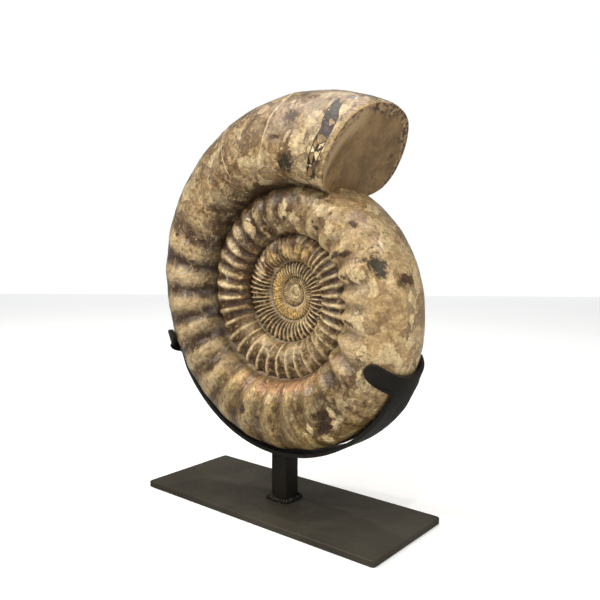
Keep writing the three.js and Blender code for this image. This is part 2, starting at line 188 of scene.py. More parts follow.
def section_point(turn, angle, lift=0.0):
    """Radius and y on the whorl's section. The angle is 0 on the shoulder, a quarter turn at mid
    venter and negative on the wall. lift is along the section's normal."""
    radius = radius_at(turn)
    depth = radius * np.where(angle > 0, VENTER_DEPTH, wall_depth_at(turn))
    half_width = radius * half_width_at(turn)
    sine, cosine = np.sin(angle), np.cos(angle)
    power = SECTION_POWER
    reach = (np.abs(sine) ** power + np.abs(cosine) ** power) ** (-1 / power)
    normal_out = np.sign(sine) * np.abs(reach * sine) ** (power - 1) / depth
    normal_side = np.abs(reach * cosine) ** (power - 1) / half_width
    length = np.hypot(normal_out, normal_side)
    out = radius * SHOULDER + depth * reach * sine + lift * normal_out / length
    side = half_width * reach * cosine + lift * normal_side / length
    return out, side


def depth_at(turn, on_wall):
    return radius_at(turn) * (wall_depth_at(turn) if on_wall else VENTER_DEPTH)


def half_thickness(turn, radius, on_wall):
    share = np.minimum(np.abs(radius - SHOULDER * radius_at(turn)) / depth_at(turn, on_wall), 1)
    return radius_at(turn) * half_width_at(turn) * (1 - share**SECTION_POWER) ** (1 / SECTION_POWER)


def angle_on_section(turn, radius, y, on_wall):
    out = (radius - SHOULDER * radius_at(turn)) / depth_at(turn, on_wall)
    return np.arctan2(out, y / (radius_at(turn) * half_width_at(turn)))


def seams(turn):
    """Where the wall of each turn meets the flank of the whorl inside it: the radius, the angle on
    the turn's own section and the angle on the inner whorl's section."""
    low = WALL_FOOT * radius_at(turn + 1)
    high = radius_at(turn + 1)
    for _ in range(HALVINGS):
        middle = (low + high) / 2
        outside = half_thickness(turn, middle, True) > half_thickness(turn + 1, middle, False)
        high = np.where(outside, middle, high)
        low = np.where(outside, low, middle)
    y = half_thickness(turn, low, True)
    return low, angle_on_section(turn, low, y, True), angle_on_section(turn + 1, low, y, False)


def along(name, turn):
    return np.interp(turn, *ALONG[name])


def rib_crest(turn):
    """1 on the crest of a rib and 0 in the valley."""
    wave = 0.5 + 0.5 * np.cos(2 * pi * along("rib_number", turn))
    return wave ** along("sharpness", turn)


def rib_lift(turn, weight):
    middle = 0.5 / along("sharpness", turn) ** 0.42
    uneven = 1 + 0.16 * np.sin(2.3 * np.round(along("rib_number", turn)) + 0.7)
    return radius_at(turn) * along("relief", turn) * weight * uneven * (rib_crest(turn) - middle)


# Painted places on the front of the shell: turn, share across, half length in turns, half width

PATCHES = {
    "cream": [
        (0.0115, 0.79, 0.006, 0.06), (0.009, 0.605, 0.005, 0.032), (0.0165, 0.575, 0.003, 0.022),
        (0.013, 0.41, 0.01, 0.085), (0.042, 0.43, 0.011, 0.11), (0.6425, 0.68, 0.006, 0.08),
        (0.678, 0.79, 0.01, 0.06), (0.681, 0.65, 0.006, 0.1), (0.6525, 0.88, 0.009, 0.07),
        (0.631, 0.77, 0.005, 0.05), (0.746, 0.76, 0.004, 0.06), (0.75, 0.65, 0.007, 0.04),
        (0.768, 0.64, 0.005, 0.07), (0.77, 0.55, 0.006, 0.05), (0.78, 0.6, 0.004, 0.05),
        (0.8775, 0.52, 0.012, 0.15), (0.995, 0.6, 0.006, 0.08), (0.96, 0.47, 0.012, 0.1),
        (0.575, 0.23, 0.009, 0.07), (0.541, 0.2, 0.004, 0.05), (1.07, 0.5, 0.01, 0.18),
        (1.045, 0.36, 0.008, 0.12), (1.14, 0.6, 0.008, 0.15), (1.165, 0.45, 0.012, 0.18),
        (1.2, 0.65, 0.008, 0.16),
    ],
    "dark": [
        (0.055, 0.66, 0.008, 0.08), (0.0675, 0.47, 0.006, 0.025), (0.1425, 0.29, 0.004, 0.02),
        (0.261, 0.515, 0.004, 0.03), (0.2575, 0.33, 0.006, 0.03), (0.32, 0.42, 0.003, 0.02),
        (0.559, 0.51, 0.003, 0.025), (0.804, 0.3, 0.0045, 0.08), (0.879, 0.25, 0.004, 0.06),
        (0.913, 0.42, 0.005, 0.1), (0.919, 0.28, 0.005, 0.1), (0.9425, 0.77, 0.006, 0.05),
        (0.9775, 0.64, 0.003, 0.05), (0.985, 0.3, 0.006, 0.05), (0.994, 0.77, 0.008, 0.02),
        (0.66, 0.75, 0.01, 0.1), (0.668, 0.62, 0.012, 0.1), (0.705, 0.85, 0.003, 0.012),
        (0.72, 0.85, 0.003, 0.012), (0.726, 0.56, 0.004, 0.05), (0.45, 0.28, 0.008, 0.12),
        (0.535, 0.45, 0.006, 0.1), (0.86, 0.99, 0.007, 0.05), (1.065, 0.33, 0.005, 0.06),
    ],
    "moss": [
        (0.8775, 0.81, 0.013, 0.07), (0.885, 0.74, 0.011, 0.07), (0.893, 0.67, 0.004, 0.06),
        (0.0525, 0.22, 0.012, 0.09), (0.013, 0.51, 0.006, 0.04),
    ],
    # Dark violet places: stains, and painted shade in the rib valleys on the left and along the seams.
    "violet": [
        (0.01, 0.69, 0.006, 0.045), (0.014, 0.28, 0.01, 0.035), (0.016, 0.18, 0.011, 0.08),
        (0.006, 0.87, 0.004, 0.03), (0.245, 0.3, 0.008, 0.2), (0.288, 0.5, 0.008, 0.34),
        (0.33, 0.3, 0.008, 0.24), (0.37, 0.28, 0.01, 0.24), (0.41, 0.36, 0.01, 0.22),
        (0.196, 0.2, 0.008, 0.16), (0.26, 0.06, 0.1, 0.07), (1.18, 0.3, 0.09, 0.3),
        (1.12, 0.75, 0.02, 0.2), (1.3, 0.06, 0.12, 0.09),
        (0.712, 0.3, 0.016, 0.3), (0.69, 0.55, 0.012, 0.35), (0.75, 0.6, 0.026, 0.22),
        (0.665, 0.7, 0.026, 0.22), (0.905, 0.1, 0.05, 0.1),
    ],
    "rust": [
        (0.65, 0.18, 0.007, 0.035), (0.886, 0.6, 0.0015, 0.1), (0.857, 0.85, 0.003, 0.02),
        (0.966, 0.95, 0.004, 0.012), (0.845, 0.82, 0.002, 0.02), (0.6, 0.12, 0.004, 0.03),
        (0.49, 0.3, 0.002, 0.03),
    ],
}
BACK_PATCHES = 34
GOLD_BLOBS = [1.955, 2.0, 2.035, 2.085, 2.165]        # bright places on the third whorl, as turns
CONSTRICTIONS = [(0.0716, 0.02), (0.1425, 0.0)]      # turn at the edge, and lean inward
PITTED = {"dark": 0.0011, "moss": 0.0007, "rust": 0.0003}
# The low whorl's inner side is kept out of the painted shade that the tone lays on the low stretch.
BRIGHT_TONE = 1.1                     # of the low whorl's inner side and the cream pieces


def patch_list(kind, side):
    """The patches of one kind on a side. Those of the back are drawn at random, alike in size."""
    if side < 0:
        return PATCHES[kind]
    draw = random.Random(kind)
    count = round(BACK_PATCHES * len(PATCHES[kind]) / len(PATCHES["cream"]))
    made = []
    for _ in range(count):
        _, _, length, width = draw.choice(PATCHES[kind])
        made.append((draw.uniform(0, 1.25), draw.uniform(0.15, 0.9), length, min(width, 0.15)))
    return made


def patch_field(kind, turn, across, side):
    """1 in the middle of a patch, 0 on its edge and negative outside."""
    field = np.full(turn.shape, -1.0)
    for each_side in (-1, 1):
        here = side == each_side
        for centre, middle, length, width in patch_list(kind, each_side):
            far = np.hypot((turn[here] - centre) / length, (across[here] - middle) / width)
            field[here] = np.maximum(field[here], 1 - far)
    return field


class Net:
    """Collects the shell's vertices and faces. Each vertex is a turn, an angle on the section, a
    side, a share across, the weight of the ribs there, the turn its colours are taken from and the
    turn its axis is taken from."""

    def __init__(self):
        self.parts = []
        self.count = 0
        self.faces = []

    def add(self, turn, angle, side, across, weight, shown_turn=None, axis_turn=None):
        shown = turn if shown_turn is None else shown_turn
        axis = turn if axis_turn is None else axis_turn
        values = np.broadcast_arrays(turn, angle, side, across, weight, shown, axis)
        columns = [np.ravel(value) for value in values]
        self.parts.append(np.stack(columns, axis=1).astype(float))
        size = len(columns[0])
        ids = np.arange(self.count, self.count + size).reshape(np.broadcast(turn, angle, side).shape)
        self.count += size
        return ids

    def grid(self, ids, flip):
        quads = np.stack([ids[:-1, :-1], ids[1:, :-1], ids[1:, 1:], ids[:-1, 1:]], axis=-1).reshape(-1, 4)
        self.faces.extend((quads[:, ::-1] if flip else quads).tolist())

    def bridge(self, fine, coarse, flip):
        """Joins a row to the next one, which has half as many columns."""
        for k in range(len(coarse) - 1):
            face = [fine[2 * k], coarse[k], coarse[k + 1], fine[2 * k + 2], fine[2 * k + 1]]
            self.faces.append([int(v) for v in (face[::-1] if flip else face)])


def flank_weight(turn, share):
    """Strength of the ribs across the flank: they rise out of the wall and fade towards the edge."""
    start = np.interp(turn, [1.3, 1.45], [0, 0.6])
    rise = start + (1 - start) * smoothstep(share, 0.02, 0.28)
    return rise * (1 - along("fade", turn) * smoothstep(share, 0.5, 1.0))


def build_shell_net():
    """Rows of vertices at each step along the coil, from the mouth to the centre."""
    net = Net()
    rows = LAST_TURN * STEPS_PER_TURN + 1
    turn = np.arange(rows) / STEPS_PER_TURN
    next_turn = (np.arange(rows) + STEPS_PER_TURN) / STEPS_PER_TURN
    seam_radius, own_angle, inner_angle = seams(turn)
    cover = np.concatenate([np.full(STEPS_PER_TURN, inner_angle[0]), inner_angle[: rows - STEPS_PER_TURN]])
    edge_radius = np.concatenate([radius_at(turn[:STEPS_PER_TURN]), seam_radius[: rows - STEPS_PER_TURN]])

    def across_at(first, last, angle):
        radius, _ = section_point(turn[first:last, None], angle)
        inner = seam_radius[first:last, None]
        return np.clip((radius - inner) / (edge_radius[first:last, None] - inner), 0, 1)

    def flank(first, last, stride, side):
        here, inward = turn[first:last, None], next_turn[first:last, None]
        share = np.linspace(0, 1, FLANK_COLUMNS // stride + 1)[1:]
        angle = own_angle[first:last, None] + share * (cover - own_angle)[first:last, None]
        across = across_at(first, last, angle)
        axis = here + 1 - smoothstep(share, 0, AXIS_BLEND)
        rest = net.add(here, angle, side, across, flank_weight(here, share), axis_turn=axis)
        seam_angle = inner_angle[first:last, None]
        seam = net.add(inward, seam_angle, side, 0.0, flank_weight(inward, 1), shown_turn=here)
        return np.concatenate([seam, rest], axis=1)

    def venter(first, last, share, side):
        here = turn[first:last, None]
        angle = cover[first:last, None] + share * (pi / 2 - cover[first:last, None])
        weight = flank_weight(here, 1) * (1 - 0.7 * share) * smoothstep(1 - here, 0, 0.06)
        return net.add(here, angle, side, across_at(first, last, angle), weight)

    outer_rows = STEPS_PER_TURN + 1
    shares = np.linspace(0, 1, VENTER_COLUMNS + 1)[1:]
    front = flank(0, outer_rows, 1, -1)
    back = flank(0, outer_rows, 1, 1)
    over_front = venter(0, outer_rows, shares, -1)
    over_back = venter(0, outer_rows, shares[:-1], 1)
    net.grid(np.concatenate([front, over_front, over_back[:, ::-1], back[:, ::-1]], axis=1), True)

    for side, whole in ((-1, front), (1, back)):
        flip = side < 0
        previous = whole[-1]
        rows_of_seam = [whole[:, 0]]
        limits = [round(start * STEPS_PER_TURN) + 1 for start, _ in COLUMN_STRIDES] + [rows]
        for (_, stride), first, last in zip(COLUMN_STRIDES, limits, limits[1:]):
            block = flank(first, last, stride, side)
            net.bridge(previous, block[0], flip)
            net.grid(block, flip)
            previous = block[-1]
            rows_of_seam.append(block[:, 0])
        seam_ids = np.concatenate(rows_of_seam)
        centre = net.add(np.array([LAST_TURN + 1.5]), 0.0, side, 0.5, 0.0)[0]
        loop = [*seam_ids[-STEPS_PER_TURN - 1 :].tolist(), *previous[1:].tolist()]
        for a, b in zip(loop, loop[1:]):
            net.faces.append([int(centre), b, a] if side < 0 else [int(centre), a, b])
    mouth_rim = np.concatenate([front[0], over_front[0], over_back[0, ::-1], back[0, ::-1]])
    mouth_foot = np.concatenate([[front[0, 0]], front[-1, -1:], over_front[-1], over_back[-1, ::-1],
                                 back[-1, -1:], [back[0, 0]]])
    return net, mouth_rim, mouth_foot


def lift_of(turn, angle, across, weight, points, fields):
    """Height above the smooth section: ribs, uneven stone, pits, growth lines and the rounded rim."""
    size = radius_at(turn) / APERTURE_RADIUS
    swell = np.array([noise.noise(Vector(p) * 26) for p in points])
    grain = np.array([noise.fractal(Vector(p) * 95, 0.7, 2.1, 3) for p in points])
    lift = rib_lift(turn, weight) + size * (0.0011 * swell + 0.00035 * grain)
    lift += along("edge_shift", turn) * smoothstep(angle, -0.4, 1.1)
    for kind, depth in PITTED.items():
        lift -= depth * smoothstep(fields[kind], -0.1, 0.6)
    for start, lean in CONSTRICTIONS:
        line = start + lean * (1 - across)
        lift += 0.0007 * np.exp(-(((turn - line) / 0.0016) ** 2)) * smoothstep(across, 0.15, 0.3)
    lift -= RIM_ROUNDING * np.clip(1 - turn * STEPS_PER_TURN / 2.5, 0, 1) ** 2
    return lift


def colour_weights(turn, across):
    """How strongly each kind of colour shows at each vertex, from the ribs and the place."""
    crest = rib_crest(turn)
    outward_fade = np.where((turn > 0.62) & (turn < 1.05), 1 - smoothstep(across, 0.35, 0.75), 1)
    outer_half = np.where((turn > 1.4) & (turn < 1.76), smoothstep(across, 0.05, 0.6), 1)
    middle_only = np.where((turn > 1.02) & (turn < 1.42), np.exp(-(((across - 0.5) / 0.28) ** 2)), 1)
    blobs = sum(np.exp(-(((turn - middle) / 0.013) ** 2)) for middle in GOLD_BLOBS)
    blobs = np.minimum(blobs, 1) * np.exp(-(((across - 0.45) / 0.22) ** 2))
    # On the outer whorl the dark ground keeps to the inner seam, where it is painted shade.
    outer_whorl_seam_limit = np.where(turn < 0.7, 1 - smoothstep(across, 0.03, 0.22), 1)
    low_inside = along("low", turn) * (1 - smoothstep(across, 0.1, 0.4))
    lip = along("lip", turn) * np.exp(-((across / along("lip_width", turn)) ** 2))
    # Painted shade: darker along both seams of each whorl, where it meets the next one.
    inner_seam_shade = np.exp(-((across / 0.05) ** 2)) * (1 - np.clip(lip * 2, 0, 1))
    outer_seam_shade = np.where(turn > 1, np.exp(-(((1 - across) / along("seam_shade_width", turn)) ** 2)), 0)
    return {
        # Painted shade in the rib valleys and a painted highlight on the crests, over real fill and wear.
        "valley_fill_and_shade": along("valley_fill_and_shade", turn) * outward_fade * outer_half * np.clip(1 - crest * 1.6, 0, 1),
        "crest_wear_and_highlight": along("crest_wear_and_highlight", turn) * outward_fade * middle_only * smoothstep(crest, 0.35, 0.9),
        "gold": along("gold", turn) * np.where((turn > 1.9) & (turn < 2.4), blobs, 1),
        "blush": along("blush", turn) * (1 - smoothstep(across, 0.08, 0.24)),
        "lip": lip,
        "seam_shade": np.maximum(inner_seam_shade, outer_seam_shade),
        "dark_stone_and_shade": along("dark_stone_and_shade", turn) * outer_whorl_seam_limit,
        "pale": along("pale", turn),
        # The tone holds painted shade on the low stretch of the outer whorl, except its inner side.
        "tone": along("tone", turn) + (BRIGHT_TONE - along("tone", turn)) * low_inside,
    }


def mesh_object(name, vertices, faces, materials, sharp_angle=40):
    mesh = bpy.data.meshes.new(name)
    mesh.from_pydata([tuple(v) for v in vertices], [], faces)
    mesh.validate()
    for material in materials:
        mesh.materials.append(material)
    mesh.shade_smooth()
    mesh.set_sharp_from_angle(angle=radians(sharp_angle))
    piece = bpy.data.objects.new(name, mesh)
    bpy.context.scene.collection.objects.link(piece)
    return piece


def paint(mesh, name, values):
    attribute = mesh.attributes.new(name, "FLOAT", "POINT")
    attribute.data.foreach_set("value", np.asarray(values, np.float32))


def run_of(line):
    """Distance of each point of a line from its first."""
    return np.r_[0, np.cumsum(np.linalg.norm(np.diff(line, axis=0), axis=1))]


def resampled(line, count):
    """A line through the same places with another number of points, evenly spread."""
    steps = run_of(line)
    wanted = np.linspace(0, steps[-1], count)
    return np.stack([np.interp(wanted, steps, line[:, k]) for k in range(3)], axis=1)


def zipped(left, right, left_key, right_key):
    """Triangles between two lines that hold different numbers of points."""
    faces = []
    i = j = 0
    while i < len(left) - 1 or j < len(right) - 1:
        next_left = left_key[i + 1] if i < len(left) - 1 else inf
        next_right = right_key[j + 1] if j < len(right) - 1 else inf
        if next_left <= next_right:
            faces.append([left[i], left[i + 1], right[j]])
            i += 1
        else:
            faces.append([left[i], right[j + 1], right[j]])
            j += 1
    return faces


def build_mouth(rim, foot, first_id):
    """The broken face across the mouth: slightly hollow, uneven, with a rounded edge."""
    count = len(rim)
    start = resampled(foot, count)
    outward = np.array([cos(APERTURE_ANGLE), 0, -sin(APERTURE_ANGLE)])
    vertices = []
    depth = []
    for k in range(MOUTH_LINES + 1):
        share = k / MOUTH_LINES
        line = start + (rim - start) * share
        across = np.abs(np.linspace(-1, 1, count))
        inner = np.minimum(share, 1 - share) * 2 * (1 - across**4)
        rough = np.array([noise.fractal(Vector(p) * 60, 0.8, 2.1, 4) for p in line])
        line = line + outward * (inner * (-0.002 + 0.0012 * rough))[:, None]
        if k == MOUTH_LINES:
            line = rim
        vertices.extend(line)
        depth.extend(np.minimum(1 - share, (1 - across) * 3))
    faces = []
    for k in range(MOUTH_LINES):
        for j in range(count - 1):
            a = first_id + k * count + j
            faces.append([a, a + 1, a + count + 1, a + count])
    foot_ids = [first_id + len(vertices) + k for k in range(len(foot))]
    top_ids = [first_id + k for k in range(count)]
    foot_run = run_of(foot)
    faces += zipped(foot_ids, top_ids, foot_run / foot_run[-1], np.linspace(0, 1, count))
    vertices.extend(foot)
    depth.extend(np.ones(len(foot)))
    return vertices, faces, depth


def build_ammonite(stone, dull_stone):
    net, rim, foot = build_shell_net()
    turn, angle, side, across, weight, shown_turn, axis_turn = np.concatenate(net.parts).T
    smooth_radius, smooth_y = section_point(turn, angle)
    points = place(turn, smooth_radius, side * smooth_y, axis_turn)
    fields = {kind: patch_field(kind, shown_turn, across, side) for kind in PATCHES}
    lift = lift_of(turn, angle, across, weight, points, fields)
    radius, y = section_point(turn, angle, lift)
    at_centre = turn > LAST_TURN + 1.2
    radius = np.where(at_centre, 0, radius)
    points = place(turn, radius, side * y, axis_turn)
    mouth_points, mouth_faces, mouth_depth = build_mouth(points[rim], points[foot], len(points))
    vertices = np.concatenate([points, np.array(mouth_points)])
    piece = mesh_object("ammonite_shell", vertices, net.faces + mouth_faces, [stone, dull_stone], 48)
    for polygon in piece.data.polygons[len(net.faces) :]:
        polygon.material_index = 1
    extra = len(mouth_points)
    weights = colour_weights(shown_turn, across)
    weights["tone"] += (BRIGHT_TONE - weights["tone"]) * smoothstep(fields["cream"], -0.1, 0.4)
    weights.update({"turn": shown_turn, "across": across, **fields})
    for name, values in weights.items():
        paint(piece.data, name, np.concatenate([values, np.zeros(extra)]))
    paint(piece.data, "depth", np.concatenate([np.zeros(len(points)), mouth_depth]))
    return piece


# Stand


def angle_after(turn, distance, clearance):
    """Angle on the section at which a sheet lying on it has run a distance from mid venter."""
    angles = np.linspace(pi / 2, 0.0, 400)
    line = np.stack(section_point(turn, angles, clearance), axis=1)
    return np.interp(distance, run_of(line), angles)


def sheet_points(turn, across, bend, clearance):
    """Inner and outer point of the cradle's sheet. bend is 1 on a wing and 0 on the flat band."""
    angle = angle_after(turn, abs(across), clearance)
    pair = []
    for lift in (clearance, clearance + SHEET_THICKNESS):
        curved_radius, curved_y = section_point(turn, angle, lift)
        radius = radius_at(turn) + lift
        radius += bend * (curved_radius - radius)
        y = abs(across) + bend * (curved_y - abs(across))
        pair.append(place(turn, radius, copysign(y, across)))
    return pair


def end_rows(wing_reach):
    """Rows of one end of the cradle, from the wing's top edge to the band: how far along the sheet
    the row lies at its edges and at its middle, and how far out its edges reach."""
    rows = []
    half = WING_HEIGHT / 2
    for degrees in range(90, -91, -12):
        turned = radians(degrees)
        edge = half - half * sin(turned)
        rows.append((edge, edge + WING_RISE, wing_reach - half + half * cos(turned)))
    fillet_start = BAND_HALF_WIDTH + FILLET_RADIUS
    for share in (0.25, 0.5, 0.75):
        reach = wing_reach - half + (fillet_start - wing_reach + half) * share
        rows.append((WING_HEIGHT, WING_HEIGHT + WING_RISE + 0.002 * share, reach))
    for degrees in range(0, 91, 15):
        turned = radians(degrees)
        edge = WING_HEIGHT + FILLET_RADIUS * (1 - cos(turned))
        middle = WING_HEIGHT + WING_RISE + 0.002 + 0.004 * degrees / 90
        rows.append((edge, middle, fillet_start - FILLET_RADIUS * sin(turned)))
    return rows


def cradle_rows():
    def bend_at(run):
        return 1 - smoothstep(run, WING_HEIGHT, WING_HEIGHT + FLATTENING_LENGTH)

    per_left = 1 / (2 * pi * radius_at(CRADLE_LEFT_TURN))
    per_right = 1 / (2 * pi * radius_at(CRADLE_RIGHT_TURN))

    def wing(start, per_metre, clearance, wing_reach):
        made = []
        for edge, middle, reach in end_rows(wing_reach):
            bend = bend_at(middle)
            lift = BAND_CLEARANCE + (clearance - BAND_CLEARANCE) * bend
            made.append((start + edge * per_metre, start + middle * per_metre, reach, bend, lift))
        return made

    left = wing(CRADLE_LEFT_TURN, per_left, LEFT_CLEARANCE, WING_REACH + LEFT_EXTRA_REACH)
    right = wing(CRADLE_RIGHT_TURN, -per_right, RIGHT_CLEARANCE, WING_REACH)[::-1]
    band = []
    steps = 90
    for i in range(1, steps):
        turn = left[-1][1] + (right[0][1] - left[-1][1]) * i / steps
        from_left = (turn - CRADLE_LEFT_TURN) / per_left
        from_right = (CRADLE_RIGHT_TURN - turn) / per_right
        bend = bend_at(min(from_left, from_right))
        clearance = LEFT_CLEARANCE if from_left < from_right else RIGHT_CLEARANCE
        lift = BAND_CLEARANCE + (clearance - BAND_CLEARANCE) * bend
        band.append((turn, turn, BAND_HALF_WIDTH, bend, lift))
    return left + band + right


def build_cradle(material):
    columns = 28
    rows = cradle_rows()
    vertices = []
    for edge_turn, middle_turn, reach, bend, clearance in rows:
        for k in range(columns + 1):
            share = 2 * k / columns - 1
            turn = middle_turn + (edge_turn - middle_turn) * share * share
            to_tip = max(abs(share) * reach - BAND_HALF_WIDTH, 0) / (WING_REACH - BAND_HALF_WIDTH)
            lift = clearance + (TIP_CLEARANCE - clearance) * to_tip
            vertices.extend(sheet_points(turn, share * reach, bend, lift))
    inner = np.arange(len(rows) * (columns + 1)).reshape(len(rows), columns + 1) * 2
    outer = inner + 1
    faces = []

    def strip(a, b, c, d):
        faces.extend(np.stack([a, b, c, d], axis=-1).reshape(-1, 4).tolist())

    strip(outer[:-1, :-1], outer[:-1, 1:], outer[1:, 1:], outer[1:, :-1])
    strip(inner[:-1, :-1], inner[1:, :-1], inner[1:, 1:], inner[:-1, 1:])
    strip(inner[:-1, 0], outer[:-1, 0], outer[1:, 0], inner[1:, 0])
    strip(inner[:-1, -1], inner[1:, -1], outer[1:, -1], outer[:-1, -1])
    strip(inner[0, :-1], inner[0, 1:], outer[0, 1:], outer[0, :-1])
    strip(inner[-1, :-1], outer[-1, :-1], outer[-1, 1:], inner[-1, 1:])
    piece = mesh_object("cradle_sheet", vertices, faces, [material], 35)
    soften(piece, 0.0009, 3)
    return piece


def soften(piece, width, segments):
    """Rounds the sharp edges of a piece."""
    bevel = piece.modifiers.new("rounded edges", "BEVEL")
    bevel.limit_method = "ANGLE"
    bevel.angle_limit = radians(50)
    bevel.width = width
    bevel.segments = segments
    bevel.harden_normals = True


def band_underside(x):
    """Height of the band's underside above a place on the plate's centre line."""
    turns = np.linspace(0.62, 0.5, 400)
    points = place(turns, radius_at(turns) + BAND_CLEARANCE + SHEET_THICKNESS, 0)
    order = np.argsort(points[:, 0])
    return np.interp(x, points[order, 0], points[order, 2])


def bar_outline(half, corner, steps=6):
    """Square with round corners, counter-clockwise."""
    outline = []
    for quarter in range(4):
        middle = radians(45 + 90 * quarter)
        centre = np.array([copysign(half - corner, cos(middle)),
                           copysign(half - corner, sin(middle))])
        for k in range(steps + 1):
            angle = radians(90 * quarter + 90 * k / steps)
            outline.append(centre + corner * np.array([cos(angle), sin(angle)]))
    return np.array(outline)


def build_post(material):
    outline = bar_outline(POST_HALF, POST_CORNER)
    foot = POST_LOW.z
    top = band_underside(outline[:, 0]) - JOINT_GAP
    rings = [np.column_stack([outline, foot + (top - foot) * share]) for share in np.linspace(0, 1, 7)]
    return lofted("post_bar", rings, material)


def lofted(name, rings, material, closed_ends=True):
    """Closed solid through rings of the same number of points."""
    count = len(rings[0])
    faces = []
    for k in range(len(rings) - 1):
        for j in range(count):
            a, b = k * count + j, k * count + (j + 1) % count
            faces.append([a, b, b + count, a + count])
    if closed_ends:
        faces.append(list(range(count))[::-1])
        faces.append([(len(rings) - 1) * count + j for j in range(count)])
    else:
        last = (len(rings) - 1) * count
        for j in range(count):
            faces.append([last + j, last + (j + 1) % count, (j + 1) % count, j])
    return mesh_object(name, np.concatenate(rings), faces, [material])


def build_foot_weld(material):
    """Bead of weld round the foot of the post, laid as overlapping uneven blobs."""
    half = POST_HALF + WELD_GAP
    steps = 300
    section = 12
    vertices = []
    for i in range(steps):
        angle = 2 * pi * i / steps
        direction = np.array([cos(angle), sin(angle)])
        start = half * direction / max(abs(direction))
        where = Vector((start[0], start[1], 0.0))
        size = 1 + 0.45 * noise.noise(where * 190) + 0.3 * noise.noise(where * 430 + Vector((3, 1, 7)))
        ripple = 1 + 0.1 * abs(sin(22 * angle + 2 * noise.noise(where * 90)))
        for k in range(section):
            around = pi / 2 * k / (section - 1)
            out = BEAD_WIDTH * size * ripple * sin(around) ** 0.8
            up = BEAD_HEIGHT * size * ripple * cos(around) ** 0.8
            vertices.append((*(start + out * direction), PLATE_TOP + WELD_GAP + up))
        vertices.append((*start, PLATE_TOP + WELD_GAP))
    rings = np.array(vertices).reshape(steps, section + 1, 3)
    return lofted("foot_weld", list(np.transpose(rings, (1, 0, 2))), material, closed_ends=False)


def build_top_weld(material):
    """Small smooth fillet of weld where the post meets the underside of the band."""
    outline = bar_outline(POST_HALF, POST_CORNER, 10)
    outward = outline / np.linalg.norm(outline, axis=1)[:, None]
    rings = []
    for k in range(8):
        around = pi / 2 * k / 7
        spread = TOP_FILLET * (1 - cos(around))
        drop = TOP_FILLET * (1 - sin(around))
        ring = outline + outward * (spread - WELD_GAP)
        rings.append(np.column_stack([ring, band_underside(ring[:, 0]) - WELD_GAP - drop]))
    rings.append(np.column_stack([outline * 0.97, band_underside(outline[:, 0]) - JOINT_GAP]))
    return lofted("top_weld", rings, material, closed_ends=False)


# Materials


def colour(code):
    """Linear colour with alpha from an sRGB code such as a39070."""
    shares = [int(code[k : k + 2], 16) / 255 for k in (0, 2, 4)]
    linear = [s / 12.92 if s <= 0.04045 else ((s + 0.055) / 1.055) ** 2.4 for s in shares]
    return (*linear, 1.0)


